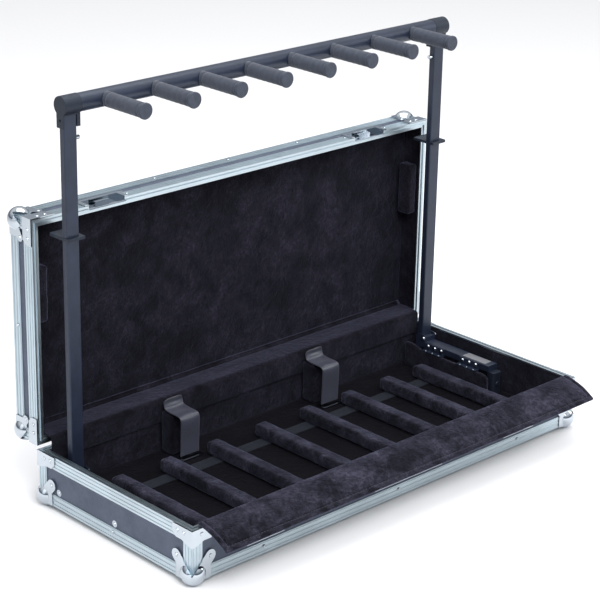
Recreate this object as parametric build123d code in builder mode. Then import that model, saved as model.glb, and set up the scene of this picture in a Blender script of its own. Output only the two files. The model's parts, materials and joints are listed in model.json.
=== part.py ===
"""Guitar rack built into a flight case: a shallow tray with a hinged lid, and a rack that stands in it.

Row frame: +X along the case, +Y from the front flap to the lid, +Z up, origin at the centre of the
footprint. All sizes are in millimetres. The lid stands open against its stop hinges. Heights below
are measured from the tray's underside; every piece is raised by STAND when it is written out.
"""

from build123d import *
from math import atan2, degrees, hypot
import os

# --- driving dimensions -------------------------------------------------------------------------
LENGTH = 1100.0  # case along X
DEPTH = 470.0  # case along Y, and the standing lid's height
TRAY_HEIGHT = 109.0  # underside to rim
LID_DEPTH = 70.0  # lid's top panel to its rim
LID_GAP = 10.0  # clear height between the tray's rim and the open lid
SKIN = 1.6  # aluminium extrusion thickness
PANEL = 9.0  # laminated plywood
PLUSH = 4.0  # lining on the walls
RIM_BAND = 27.0  # outer band of the rim extrusion
RIM_WEB = 4.0  # thickness of the rim face
EDGE_LEG = 26.0  # legs of the edge angle
RIB = 0.9  # ribs proud of the extrusions
TONGUE = 2.6  # lid's tongue, which drops into the tray's groove
FLOOR_TOP = 20.0  # top of the padded floor
BALL_RADIUS = 24.5
BALL_INSET = 13.0  # ball centre from each face of the case
BALL_NOTCH = 15.0  # foot of the notch in each ball, where the corner's angle runs in
STAND = 10.0  # the flattened balls hold the tray this far above the ground
PLATE = 1.4  # pressed steel hardware

UPRIGHT_WIDTH = 30.0  # rectangular steel tube
UPRIGHT_DEPTH = 15.0
TUBE_WALL = 2.0
UPRIGHT_X = 505.0  # upright centres, each side of the middle
UPRIGHT_FROM_FRONT = 407.0
UPRIGHT_TOP = 803.8
BAR_HEIGHT = 823.0  # crossbar axis above the tray's underside
BAR_RADIUS = 18.0
FITTING_RADIUS = 18.9
PRONG_COUNT = 8
PRONG_PITCH = 119.2
PRONG_SHIFT = -6.0  # middle of the row of prongs, from the middle of the case
PRONG_REACH = 130.6  # crossbar axis to the prong's tip
SLEEVE_RADIUS = 15.0
ROD_RADIUS = 5.0

REST_BAR_X = (-429, -302, -175, -40, 91, 217, 339, 447)  # loose bars, held by hook tape
REST_BAR_WIDTH = 34.0
REST_BAR_START = 30.0  # front end, from the tray's front face
REST_BAR_END = 374.0
REST_BAR_TOP = 50.0

FLAP_LENGTH = 1060.0
FLAP_THICK = 9.0
FLAP_HINGE_FROM_FRONT = 16.6
FLAP_REACH = 76.0  # front face of the tray to the flap's lip

LATCH_X = 367.0
HANDLE_X = 30.0

# --- places worked out from them ----------------------------------------------------------------
BALL_PROUD = BALL_RADIUS - BALL_INSET
FRONT = (FLAP_REACH - DEPTH - LID_DEPTH - BALL_PROUD) / 2  # tray's front face
REAR = FRONT + DEPTH  # tray's rear face, and the open lid's rim plane
MID = (FRONT + REAR) / 2
LID_BACK = REAR + LID_DEPTH
LID_LOW = TRAY_HEIGHT + LID_GAP
LID_HIGH = LID_LOW + DEPTH
LID_MID = (LID_LOW + LID_HIGH) / 2
WALL_INSIDE = SKIN + PANEL
LINING_INSIDE = WALL_INSIDE + PLUSH
HINGE_Y = REAR + LID_GAP / 2
HINGE_Z = TRAY_HEIGHT + LID_GAP / 2
UPRIGHT_Y = FRONT + UPRIGHT_FROM_FRONT
FLAP_HINGE_Y = FRONT + FLAP_HINGE_FROM_FRONT
FLAP_HINGE_Z = TRAY_HEIGHT + 3.0

tray_base = Plane(origin=(0, MID, 0), x_dir=(1, 0, 0), z_dir=(0, 0, 1))
lid_base = Plane(origin=(0, LID_BACK, LID_MID), x_dir=(1, 0, 0), z_dir=(0, -1, 0))
middle = Plane.YZ  # left and right mirror about it


def box(x, y, z, mode=Mode.ADD):
    """A block between three pairs of limits."""
    centre = ((x[0] + x[1]) / 2, (y[0] + y[1]) / 2, (z[0] + z[1]) / 2)
    with Locations(centre):
        Box(x[1] - x[0], y[1] - y[0], z[1] - z[0], mode=mode)


def ring(base, level, height, outer, inner):
    """A rectangular frame round one half of the case, between two insets from its outer faces."""
    with BuildSketch(base.offset(level)) as outline:
        Rectangle(LENGTH - 2 * outer, DEPTH - 2 * outer)
        Rectangle(LENGTH - 2 * inner, DEPTH - 2 * inner, mode=Mode.SUBTRACT)
    extrude(outline.sketch, amount=height)


def corner_faces(base):
    """The two outer faces that meet at the half's left corner: the end face, then the long face."""
    corner = base.origin - base.x_dir * (LENGTH / 2) - base.y_dir * (DEPTH / 2)
    end_face = Plane(origin=corner, x_dir=base.z_dir, z_dir=-base.x_dir)  # local: level, along
    long_face = Plane(origin=corner, x_dir=base.x_dir, z_dir=-base.y_dir)  # local: along, level
    return end_face, long_face


def to_all_corners(base):
    """Repeats what stands at the left corner at the half's other three corners."""
    mirror(about=Plane(origin=base.origin, z_dir=base.x_dir))
    mirror(about=Plane(origin=base.origin, z_dir=base.y_dir))


def corner_points(inset, level):
    return [(sx * (LENGTH / 2 - inset), sy * (DEPTH / 2 - inset), level)
            for sx in (-1, 1) for sy in (-1, 1)]


def cut_for_balls(base):
    """Clears the ball corners out of a panel or an extrusion."""
    for x, y, level in corner_points(BALL_INSET, BALL_INSET):
        centre = base.origin + base.x_dir * x + base.y_dir * y + base.z_dir * level
        with Locations(centre):
            Sphere(BALL_RADIUS + 0.2, mode=Mode.SUBTRACT)
    block = EDGE_LEG + 5
    reach = EDGE_LEG + 0.2 - block / 2
    for x, y, level in corner_points(reach, reach):
        centre = base.origin + base.x_dir * x + base.y_dir * y + base.z_dir * level
        with Locations(centre):
            Box(block, block, block, mode=Mode.SUBTRACT)


def ball_notch(base, foot):
    """The wedge over the case's upright edge that the ball leaves open."""
    corner = corner_faces(base)[0].origin
    inward = (base.x_dir + base.y_dir).normalized()
    sideways = (base.x_dir - base.y_dir).normalized()
    with BuildPart() as wedge:
        with BuildSketch(Plane(origin=corner, x_dir=sideways, z_dir=inward)):
            with BuildLine():
                Polyline((0, -foot), (18, -foot - 25), (-18, -foot - 25), close=True)
            make_face()
        extrude(amount=24, both=True)
    return wedge.part


def disc(position, axis, radius, height, taper=0):
    """A disc or a shallow dome standing on a face, along that face's outward axis."""
    with BuildSketch(Plane(origin=position, z_dir=axis)) as outline:
        Circle(radius)
    extrude(outline.sketch, amount=height, taper=taper)


def flat_panel(base):
    with BuildPart() as panel:
        with BuildSketch(base.offset(SKIN)):
            Rectangle(LENGTH - 2 * SKIN, DEPTH - 2 * SKIN)
        extrude(amount=PANEL)
        cut_for_balls(base)
    return panel.part


def edge_angle(base):
    """The extrusion round the outer edge: a flange, a band and the band's ribs."""
    with BuildPart() as edging:
        ring(base, 0, SKIN, 0, EDGE_LEG)
        ring(base, 0, EDGE_LEG, 0, SKIN)
        for level in (3.0, 12.0, 21.0):
            ring(base, level, 2.4, -RIB, SKIN)
        cut_for_balls(base)
    return edging.part


def corner_angles(base, depth):
    """Upright angles on the four corners, between the edge angle and the rim."""
    end_face, long_face = corner_faces(base)
    start = BALL_NOTCH - 1
    stop = depth - RIM_BAND
    leg = 25.0
    with BuildPart() as angles:
        with BuildSketch(end_face):
            with Locations(((start + stop) / 2, leg / 2)):
                Rectangle(stop - start, leg)
        extrude(amount=-SKIN)
        with BuildSketch(long_face):
            with Locations((leg / 2, (start + stop) / 2)):
                Rectangle(leg, stop - start)
        extrude(amount=-SKIN)
        for along in (4.0, 12.0, 20.0):
            with BuildSketch(end_face):
                with Locations(((start + stop) / 2, along)):
                    Rectangle(stop - start, 2.4)
            extrude(amount=RIB)
            with BuildSketch(long_face):
                with Locations((along, (start + stop) / 2)):
                    Rectangle(2.4, stop - start)
            extrude(amount=RIB)
        with BuildPart(mode=Mode.PRIVATE) as ball_space:
            with Locations(end_face.origin + (base.x_dir + base.y_dir + base.z_dir) * BALL_INSET):
                Sphere(BALL_RADIUS + 0.2)
            add(ball_notch(base, BALL_NOTCH + 0.6), mode=Mode.SUBTRACT)
        add(ball_space.part, mode=Mode.SUBTRACT)
        to_all_corners(base)
    return angles.part


def ball_corners(base, ear, ear_radius, flat_bottom):
    """Pressed ball corners with a riveted ear on each side face."""
    end_face, long_face = corner_faces(base)
    root = 17.0
    reach = hypot(ear[0] - root, ear[1] - root)
    lean = degrees(atan2(ear[1] - root, ear[0] - root))
    with BuildPart() as balls:
        corner = end_face.origin
        with Locations(corner + (base.x_dir + base.y_dir + base.z_dir) * BALL_INSET):
            Sphere(BALL_RADIUS)
        hollow = 100.0
        inside = corner + (base.x_dir + base.y_dir + base.z_dir) * (WALL_INSIDE + hollow / 2)
        with Locations(inside):
            Box(hollow, hollow, hollow, mode=Mode.SUBTRACT)
        if flat_bottom:
            with Locations(corner - base.z_dir * (STAND + hollow / 2)):
                Box(2 * hollow, 2 * hollow, hollow, mode=Mode.SUBTRACT)
        for face, point, turn in ((end_face, (ear[1], ear[0]), 90 - lean), (long_face, ear, lean)):
            sleeve = (EDGE_LEG, 44.0) if face is end_face else (44.0, EDGE_LEG)
            with BuildSketch(face.offset(RIB)):
                with Locations(((point[0] + root) / 2, (point[1] + root) / 2)):
                    SlotCenterToCenter(reach, 2 * ear_radius, rotation=turn)
                Rectangle(*sleeve, align=(Align.MIN, Align.MIN))
            extrude(amount=PLATE)
            with BuildSketch(face.offset(-SKIN)):
                with Locations(point):
                    Rectangle(13, 13)
            extrude(amount=SKIN + RIB)
        add(ball_notch(base, BALL_NOTCH), mode=Mode.SUBTRACT)
        to_all_corners(base)
    return balls.part


def rim_profile(base, depth, tongue):
    """The rim extrusion: outer band, flat face, and a groove for the tray or a tongue for the lid."""
    with BuildPart() as rim:
        ring(base, depth - RIM_BAND, RIM_BAND, 0, SKIN)
        ring(base, depth - RIM_WEB, RIM_WEB, 0, LINING_INSIDE)
        for down in (24.0, 16.0, 8.0):
            ring(base, depth - down, 2.4, -RIB, SKIN)
        if tongue:
            ring(base, depth, TONGUE, 6.0, 8.6)
        else:
            with BuildSketch(base.offset(depth - TONGUE - 0.4)):
                Rectangle(LENGTH - 2 * 5.6, DEPTH - 2 * 5.6)
                Rectangle(LENGTH - 2 * 9.0, DEPTH - 2 * 9.0, mode=Mode.SUBTRACT)
            extrude(amount=TONGUE + 1, mode=Mode.SUBTRACT)
    return rim


def rim_braces(base, depth):
    """Pressed braces that wrap the rim's corners, with a tail down the corner angle."""
    end_face, long_face = corner_faces(base)
    length = 54.0
    tail = 21.0
    tail_end = depth - RIM_BAND - (8.0 if depth > 100 else 1.0)
    with BuildPart() as braces:
        for face, turned in ((end_face, True), (long_face, False)):
            with BuildSketch(face.offset(RIB)):
                with BuildLine():
                    outline = [(-RIB - PLATE, depth - 0.5), (length, depth - 0.5),
                               (length, depth - 17), (length - 10, depth - RIM_BAND),
                               (tail + 6, depth - RIM_BAND), (6, tail_end), (-RIB - PLATE, tail_end)]
                    points = [(level, along) for along, level in outline] if turned else outline
                    Polyline(*points, close=True)
                make_face()
            extrude(amount=PLATE)
        to_all_corners(base)
    return braces.part


def case_rivets(base, depth, ear):
    """Rivets through the ears, the braces and the extrusions, standing on each."""
    end_face, long_face = corner_faces(base)
    plate_top = RIB + PLATE
    with BuildPart() as rivets:
        spots = [(end_face, ear[1], ear[0], plate_top), (long_face, ear[0], ear[1], plate_top)]
        for along in (22.0, 40.0):
            spots.append((end_face, depth - 12.0, along, plate_top))
            spots.append((long_face, along, depth - 12.0, plate_top))
        for face, u, v, height in spots:
            disc(face.from_local_coords((u, v, height)), face.z_dir, 4.2, 1.5, 28)
        to_all_corners(base)
    return rivets


def wall_lining(base, start, stop):
    with BuildPart() as lining:
        ring(base, start, stop - start, WALL_INSIDE, LINING_INSIDE)
    return lining


# --- tray shell ---------------------------------------------------------------------------------
wall_low = WALL_INSIDE
wall_high = TRAY_HEIGHT - RIM_WEB
half = LENGTH / 2

LATCH_WIDE = 102.0
latch_dish_x = (LATCH_X - 43.0, LATCH_X + 43.0)
latch_dish_z = (40.0, 94.0)
dish_deep = 8.0
handle_dish_x = (HANDLE_X - 90.0, HANDLE_X + 90.0)
handle_dish_z = (39.0, 75.0)
handle_deep = 8.8
fit = 0.2

tray_bottom_panel = flat_panel(tray_base)

with BuildPart() as tray_front_panel:
    box((-half + SKIN, half - SKIN), (FRONT + SKIN, FRONT + WALL_INSIDE), (wall_low, wall_high))
    for side in (-1, 1):
        span = sorted((side * latch_dish_x[0], side * latch_dish_x[1]))
        box((span[0] - fit, span[1] + fit), (FRONT, FRONT + dish_deep + fit),
            (latch_dish_z[0] - fit, latch_dish_z[1] + fit), Mode.SUBTRACT)
    box((handle_dish_x[0] - fit, handle_dish_x[1] + fit), (FRONT, FRONT + handle_deep + fit),
        (handle_dish_z[0] - fit, handle_dish_z[1] + fit), Mode.SUBTRACT)
    cut_for_balls(tray_base)

with BuildPart() as tray_rear_panel:
    box((-half + SKIN, half - SKIN), (REAR - WALL_INSIDE, REAR - SKIN), (wall_low, wall_high))
    cut_for_balls(tray_base)

with BuildPart() as tray_left_panel:
    box((-half + SKIN, -half + WALL_INSIDE), (FRONT + WALL_INSIDE, REAR - WALL_INSIDE),
        (wall_low, wall_high))
    cut_for_balls(tray_base)

with BuildPart() as tray_right_panel:
    add(tray_left_panel.part)
    mirror(about=middle)
    box((-half, 0), (FRONT, REAR), (0, TRAY_HEIGHT), Mode.SUBTRACT)

tray_edging = edge_angle(tray_base)
tray_corner_angles = corner_angles(tray_base, TRAY_HEIGHT)
tray_ear = (43.0, 45.0)  # along the case, and above the underside
tray_ball_corners = ball_corners(tray_base, tray_ear, 12.5, True)
tray_rim_braces = rim_braces(tray_base, TRAY_HEIGHT)

tray_rim = rim_profile(tray_base, TRAY_HEIGHT, False)
with tray_rim:
    for side in (-1, 1):
        span = sorted((side * latch_dish_x[0], side * latch_dish_x[1]))
        box((span[0] - fit, span[1] + fit), (FRONT - RIB, FRONT + dish_deep),
            (0, latch_dish_z[1] + fit), Mode.SUBTRACT)

tray_rivets = case_rivets(tray_base, TRAY_HEIGHT, tray_ear)
band_mid = 16.0
with tray_rivets:
    for x in (-370, 0, 366):
        disc((x, FRONT - RIB, band_mid), (0, -1, 0), 3.4, 1.2, 28)
        disc((x, REAR + RIB, band_mid), (0, 1, 0), 3.4, 1.2, 28)
    for side in (-1, 1):
        disc((side * (half + RIB), MID, band_mid), (side, 0, 0), 3.4, 1.2, 28)
        for y in (MID - 5, MID + 171):
            disc((side * (half - SKIN), y, 35), (side, 0, 0), 7.0, 0.8)
            disc((side * (half - SKIN + 0.8), y, 35), (side, 0, 0), 3.8, 1.4, 28)

COVER_THICK = 1.8  # plush that hides the gap between tray and lid
COVER_Y = REAR - 18.2
# the front stretch of the lining carries the fabric strip that the flap hangs from
tray_wall_lining = wall_lining(tray_base, WALL_INSIDE, TRAY_HEIGHT - RIM_WEB)
strip = 1.6
with tray_wall_lining:
    box((-half + 20, half - 20), (FRONT + LINING_INSIDE, FRONT + LINING_INSIDE + strip),
        (TRAY_HEIGHT - 24, TRAY_HEIGHT + 1.0))
    box((-half + 20, half - 20), (FRONT + LINING_INSIDE - 1, FRONT + LINING_INSIDE),
        (TRAY_HEIGHT - 24, TRAY_HEIGHT - RIM_WEB))
    box((-half + 20, half - 20), (COVER_Y, COVER_Y + COVER_THICK), (84, HINGE_Z + 2.3))
    box((-half + 20, half - 20), (COVER_Y + COVER_THICK, REAR - LINING_INSIDE + 1), (84, 104))

with BuildPart() as tray_floor_pad:
    box((-half + LINING_INSIDE, half - LINING_INSIDE), (FRONT + LINING_INSIDE, REAR - LINING_INSIDE),
        (WALL_INSIDE, FLOOR_TOP))
    fillet(tray_floor_pad.faces().sort_by(Axis.Z)[-1].edges(), 2)

# --- padded pieces in the tray ------------------------------------------------------------------
tape_thick = 1.6
tape_wide = 33.0
with BuildPart() as hook_tapes:
    for start in (60.0, 322.0):
        box((-half + 95, half - 80), (FRONT + start, FRONT + start + tape_wide),
            (FLOOR_TOP, FLOOR_TOP + tape_thick))

with BuildPart() as rest_bars:
    low = FLOOR_TOP + tape_thick
    for x in REST_BAR_X:
        box((x - REST_BAR_WIDTH / 2, x + REST_BAR_WIDTH / 2),
            (FRONT + REST_BAR_START, FRONT + REST_BAR_END), (low, REST_BAR_TOP))
    fillet(rest_bars.edges().filter_by(Axis.Y).group_by(Axis.Z)[-1], 7)
    fillet(rest_bars.edges().filter_by(Axis.Z), 5)

LOWERED = 25.0  # the left foot sits lower, so the folded uprights lie one over the other
BOARD_X = 480.8
BOARD_THICK = 12.0
RUNNER_TOP = 88.0
RUNNER_HIGH = 15.0
RUNNER_START = 195.0
RUNNER_END = 399.5
BRACKET_THICK = 2.0
BRACKET_SPANS = ((222.0, 282.0), (328.0, 388.0))
board_top = RUNNER_TOP - RUNNER_HIGH - 3.0


def end_board(side, drop):
    """Upright padded board beside a runner: level top, rounded front, raised rear corner."""
    top = board_top - drop
    with BuildPart() as board:
        with BuildSketch(Plane.YZ.offset(side * BOARD_X - BOARD_THICK / 2)):
            with BuildLine():
                front_low = (FRONT + 188, FLOOR_TOP)
                front_high = (FRONT + 188, top - 18)
                top_front = (FRONT + 206, top)
                top_rear = (FRONT + 385, top)
                rear_dip = (FRONT + 423, top + 8)
                rear_high = (FRONT + 440, top + 8)
                rear_low = (FRONT + 440, FLOOR_TOP)
                Line(front_low, front_high)
                TangentArc(front_high, top_front, tangent=(0, 1))
                Line(top_front, top_rear)
                Spline(top_rear, rear_dip, tangents=((1, 0), (1, 0)))
                Polyline(rear_dip, rear_high, rear_low, front_low)
            make_face()
        extrude(amount=BOARD_THICK)
        fillet(board.faces().sort_by(Axis.X)[0].edges().group_by(Axis.Z)[-1], 1.5)
    return board.part


end_board_left = end_board(-1, LOWERED)
end_board_right = end_board(1, 0)


# --- steel rack: runners, brackets, feet and uprights ------------------------------------------------
def runner(side, drop):
    """Flat tube from the foot towards the front, with plugged ends."""
    top = RUNNER_TOP - drop
    x = side * UPRIGHT_X
    with BuildPart() as tube:
        box((x - UPRIGHT_WIDTH / 2, x + UPRIGHT_WIDTH / 2), (FRONT + RUNNER_START, FRONT + RUNNER_END),
            (top - RUNNER_HIGH, top))
        fillet(tube.edges().filter_by(Axis.Y), 2)
        inner = UPRIGHT_WIDTH / 2 - TUBE_WALL
        box((x - inner, x + inner), (FRONT + RUNNER_START + 3, FRONT + RUNNER_END - 3),
            (top - RUNNER_HIGH + TUBE_WALL, top - TUBE_WALL), Mode.SUBTRACT)
    return tube.part


runner_left = runner(-1, LOWERED)
runner_right = runner(1, 0)

bracket_x = UPRIGHT_X - UPRIGHT_WIDTH / 2  # inner face of the runner
with BuildPart() as runner_brackets:
    for side, drop in ((-1, LOWERED), (1, 0)):
        for start, stop in BRACKET_SPANS:
            inner = side * (bracket_x - BRACKET_THICK)
            outer = side * bracket_x
            foot = side * (BOARD_X - BOARD_THICK / 2 + 2)
            low = board_top - drop
            box(sorted((inner, outer)), (FRONT + start, FRONT + stop), (low, low + 17))
            box(sorted((foot, outer)), (FRONT + start, FRONT + stop), (low, low + BRACKET_THICK))

with BuildPart() as runner_screws:
    for side, drop in ((-1, LOWERED), (1, 0)):
        for start, stop in BRACKET_SPANS:
            for offset in (-20.0, 0.0, 20.0):
                y = FRONT + (start + stop) / 2 + offset
                face_x = side * (bracket_x - BRACKET_THICK)
                disc((face_x, y, board_top - drop + 10.5), (-side, 0, 0), 4.6, 2.4, 25)
                disc((side * BOARD_X, y, board_top - drop + BRACKET_THICK), (0, 0, 1), 2.6, 1.4, 25)

POST_SPAN = (180.0, 204.0)
with BuildPart() as runner_posts:
    for side, drop in ((-1, LOWERED), (1, 0)):
        x = side * (UPRIGHT_X + 1)
        top = RUNNER_TOP - RUNNER_HIGH - drop
        box((x - 13, x + 13), (FRONT + POST_SPAN[0], FRONT + POST_SPAN[1]), (FLOOR_TOP, top))
    fillet(runner_posts.edges().filter_by(Axis.Z), 6)
    for side, drop in ((-1, LOWERED), (1, 0)):
        x = side * (UPRIGHT_X + 1)
        screw_z = (FLOOR_TOP + RUNNER_TOP - RUNNER_HIGH - drop) / 2
        disc((x, FRONT + POST_SPAN[0], screw_z), (0, -1, 0), 6.0, 2.0, 20)

with BuildPart() as label_plate:
    box((UPRIGHT_X - 11, UPRIGHT_X + 11), (FRONT + 210, FRONT + 277), (RUNNER_TOP, RUNNER_TOP + 0.5))

cheek = 2.0
with BuildPart() as upright_feet:
    for side, drop in ((-1, LOWERED), (1, 0)):
        x = side * UPRIGHT_X
        top = RUNNER_TOP - drop
        for face in (-1, 1):
            inner = x + face * UPRIGHT_WIDTH / 2
            box(sorted((inner, inner + face * cheek)), (FRONT + 388.2, FRONT + 416), (top - 14, top + 16))
        box((x - UPRIGHT_WIDTH / 2, x + UPRIGHT_WIDTH / 2), (FRONT + RUNNER_END, FRONT + 416),
            (FLOOR_TOP, top - 14))
        box((x - UPRIGHT_WIDTH / 2 - cheek, x + UPRIGHT_WIDTH / 2 + cheek), (FRONT + RUNNER_END, FRONT + 416),
            (top - 17, top - 14))
    fillet(upright_feet.edges().filter_by(Axis.X).group_by(Axis.Z)[-1], 6)
    for side, drop in ((-1, LOWERED), (1, 0)):
        x = side * UPRIGHT_X
        top = RUNNER_TOP - drop
        box((x - UPRIGHT_WIDTH / 2, x + UPRIGHT_WIDTH / 2), (FRONT + 388.2, FRONT + RUNNER_END),
            (top, top + 10.5))

foot_bolt_y = FRONT + 393.4
with BuildPart() as foot_bolts:
    for side, drop in ((-1, LOWERED), (1, 0)):
        z = RUNNER_TOP - drop + 7.0
        grip = UPRIGHT_WIDTH / 2 + cheek
        inner_face = side * (UPRIGHT_X - grip)
        outer_face = side * (UPRIGHT_X + grip)
        disc((inner_face, foot_bolt_y, z), (side, 0, 0), 3.0, 2 * grip)
        disc((inner_face, foot_bolt_y, z), (-side, 0, 0), 5.2, 3.6, 20)
        with BuildSketch(Plane(origin=(outer_face, foot_bolt_y, z), z_dir=(side, 0, 0))):
            RegularPolygon(5.6, 6)
        extrude(amount=4.5)

with upright_feet:
    for side, drop in ((-1, LOWERED), (1, 0)):
        with BuildSketch(Plane(origin=(side * UPRIGHT_X, foot_bolt_y, RUNNER_TOP - drop + 7.0),
                               z_dir=(1, 0, 0))):
            Circle(3.0)
        extrude(amount=25, both=True, mode=Mode.SUBTRACT)


PIN_HEIGHT = 757.0
PIN_RADIUS = 4.25


def upright(side, drop):
    """Rectangular tube with a hole for the round button near the top."""
    x = side * UPRIGHT_X
    low = RUNNER_TOP - drop - 14
    with BuildPart() as tube:
        with BuildSketch(Plane.XY.offset(low)):
            with Locations((x, UPRIGHT_Y)):
                RectangleRounded(UPRIGHT_WIDTH, UPRIGHT_DEPTH, 2.5)
                RectangleRounded(UPRIGHT_WIDTH - 2 * TUBE_WALL, UPRIGHT_DEPTH - 2 * TUBE_WALL, 0.8,
                                 mode=Mode.SUBTRACT)
        extrude(amount=UPRIGHT_TOP - low)
        with BuildSketch(Plane(origin=(x, UPRIGHT_Y, PIN_HEIGHT), z_dir=(-side, 0, 0))):
            Circle(PIN_RADIUS + 0.15)
        extrude(amount=UPRIGHT_WIDTH, mode=Mode.SUBTRACT)
    return tube.part


upright_left = upright(-1, LOWERED)
upright_right = upright(1, 0)

COLLAR_TOP = 564.0
COLLAR_THICK = 6.0
with BuildPart() as collar_plates:
    for side, shift in ((-1, 3.5), (1, 6.0)):
        x = side * UPRIGHT_X + shift
        box((x - 20.8, x + 20.8), (FRONT + 392, FRONT + 452), (COLLAR_TOP - COLLAR_THICK, COLLAR_TOP))
    fillet(collar_plates.edges().filter_by(Axis.Z), 2.5)
    fillet(collar_plates.faces().group_by(Axis.Z)[-1].edges().filter_by(Axis.X), 1.2)
    for side in (-1, 1):
        with BuildSketch(Plane.XY.offset(COLLAR_TOP)):
            with Locations((side * UPRIGHT_X, UPRIGHT_Y)):
                RectangleRounded(UPRIGHT_WIDTH, UPRIGHT_DEPTH, 2.5)
        extrude(amount=-COLLAR_THICK, mode=Mode.SUBTRACT)


def lock_pin(side):
    """Round spring button in the inner face of an upright, with a stop flange inside the tube."""
    face = UPRIGHT_X - UPRIGHT_WIDTH / 2
    with BuildPart() as pin:
        disc((side * (face + 12), UPRIGHT_Y, PIN_HEIGHT), (-side, 0, 0), PIN_RADIUS, 22)
        chamfer(pin.edges().filter_by(GeomType.CIRCLE), 0.8)
        disc((side * (face + 5), UPRIGHT_Y, PIN_HEIGHT), (-side, 0, 0), 5.2, 2)
    return pin.part


lock_pin_left = lock_pin(-1)
lock_pin_right = lock_pin(1)

# --- strap units at the rear of the tray ---------------------------------------------------------
STRAP_X = (-224.0, 183.0)
STRAP_WIDE = 50.0
STRAP_THICK = 2.4
BLOCK_TOP = 112.0
strap_front = FRONT + 388

with BuildPart() as strap_blocks:
    for x in STRAP_X:
        box((x - 28, x + 28), (FRONT + 412, FRONT + 451), (FLOOR_TOP, BLOCK_TOP))
    fillet(strap_blocks.edges().filter_by(Axis.Z), 6)
    fillet(strap_blocks.faces().group_by(Axis.Z)[-1].edges(), 4)

with BuildPart() as loop_straps:
    for x in STRAP_X:
        with BuildSketch(Plane.YZ.offset(x - STRAP_WIDE / 2)):
            with BuildLine():
                FilletPolyline(
                    (FRONT + 444, 139),
                    (FRONT + 438, BLOCK_TOP + 2.5),
                    (strap_front, BLOCK_TOP + 2.5),
                    (strap_front, FLOOR_TOP + 6),
                    radius=13,
                )
            trace(line_width=STRAP_THICK)
        extrude(amount=STRAP_WIDE)

BUCKLE_ROD = 3.6
with BuildPart() as strap_buckles:
    for x in STRAP_X:
        with BuildSketch(Plane.XY.offset(FLOOR_TOP + 0.2)):
            with Locations((x, strap_front)):
                RectangleRounded(STRAP_WIDE + 8, 26, 4)
                with GridLocations(0, 11.4, 1, 2):
                    RectangleRounded(STRAP_WIDE + 1, 7.8, 1.5, mode=Mode.SUBTRACT)
        extrude(amount=BUCKLE_ROD)

# --- front hardware ------------------------------------------------------------------------------
DISH_SHEET = 1.2
with BuildPart() as latch_bodies:
    for side in (-1, 1):
        span = sorted((side * latch_dish_x[0], side * latch_dish_x[1]))
        centre = side * LATCH_X
        box((centre - LATCH_WIDE / 2, centre + LATCH_WIDE / 2), (FRONT - RIB - PLATE, FRONT - RIB),
            (32, 102))
        box(span, (FRONT - RIB, FRONT + dish_deep), latch_dish_z)
        box((span[0] + DISH_SHEET, span[1] - DISH_SHEET), (FRONT - 5, FRONT + dish_deep - DISH_SHEET),
            (latch_dish_z[0] + DISH_SHEET, latch_dish_z[1] - DISH_SHEET), Mode.SUBTRACT)
    fillet(latch_bodies.edges().filter_by(Axis.Y).group_by(SortBy.LENGTH)[0], 5)


def latch_wing(side):
    """Butterfly wing that turns in its dish about an axis through the front face."""
    x = side * LATCH_X
    z = sum(latch_dish_z) / 2
    floor_y = FRONT + dish_deep - DISH_SHEET
    with BuildPart() as wing:
        disc((x, floor_y - 0.3, z), (0, -1, 0), 12.0, 2.2)
        with BuildSketch(Plane(origin=(x, floor_y - 2.5, z), x_dir=(1, 0, 0), z_dir=(0, -1, 0))):
            SlotOverall(42, 14)
            with GridLocations(24, 0, 2, 1):
                Circle(4.0, mode=Mode.SUBTRACT)
        extrude(amount=3.0)
        with BuildSketch(Plane(origin=(x, floor_y - 5.4, z), x_dir=(1, 0, 0), z_dir=(0, -1, 0))):
            Rectangle(3.0, 13.0)
        extrude(amount=1.8)
    return wing.part


latch_wing_left = latch_wing(-1)
latch_wing_right = latch_wing(1)

BAIL_PIVOT_Z = 69.0
BAIL_HALF = 74.0
BAIL_ROD = 3.0
bail_y = FRONT + 3.4
with BuildPart() as handle_dish:
    box((handle_dish_x[0] - 9, handle_dish_x[1] + 9), (FRONT - 0.3, FRONT + SKIN), (31, 81.5))
    box(handle_dish_x, (FRONT + SKIN, FRONT + handle_deep), handle_dish_z)
    box((handle_dish_x[0] + DISH_SHEET, handle_dish_x[1] - DISH_SHEET),
        (FRONT - 5, FRONT + handle_deep - DISH_SHEET),
        (handle_dish_z[0] + DISH_SHEET, handle_dish_z[1] - DISH_SHEET), Mode.SUBTRACT)
    for side in (-1, 1):
        cheek = HANDLE_X + side * (BAIL_HALF + 6)
        box((cheek - 2, cheek + 2), (FRONT, FRONT + handle_deep - DISH_SHEET), (60, 73.8))
    with BuildSketch(Plane.YZ.offset(HANDLE_X)):
        with Locations((bail_y, BAIL_PIVOT_Z)):
            Circle(2.3)
    extrude(amount=BAIL_HALF + 9, both=True, mode=Mode.SUBTRACT)

with BuildPart() as handle_bail:
    with BuildSketch(Plane(origin=(0, bail_y + BAIL_ROD, 0), x_dir=(1, 0, 0), z_dir=(0, -1, 0))):
        with BuildLine():
            FilletPolyline(
                (HANDLE_X - BAIL_HALF, BAIL_PIVOT_Z + 2.2),
                (HANDLE_X - BAIL_HALF, 46),
                (HANDLE_X + BAIL_HALF, 46),
                (HANDLE_X + BAIL_HALF, BAIL_PIVOT_Z + 2.2),
                radius=8,
            )
        trace(line_width=2 * BAIL_ROD)
    extrude(amount=2 * BAIL_ROD)
    fillet(handle_bail.edges().filter_by(GeomType.LINE).filter_by(Axis.X), 2.4)
    for side in (-1, 1):
        disc((HANDLE_X + side * BAIL_HALF, bail_y, BAIL_PIVOT_Z), (side, 0, 0), 2.2, 9.5)
    disc((HANDLE_X - 48, bail_y, 46), (1, 0, 0), 3.9, 96)

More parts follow.
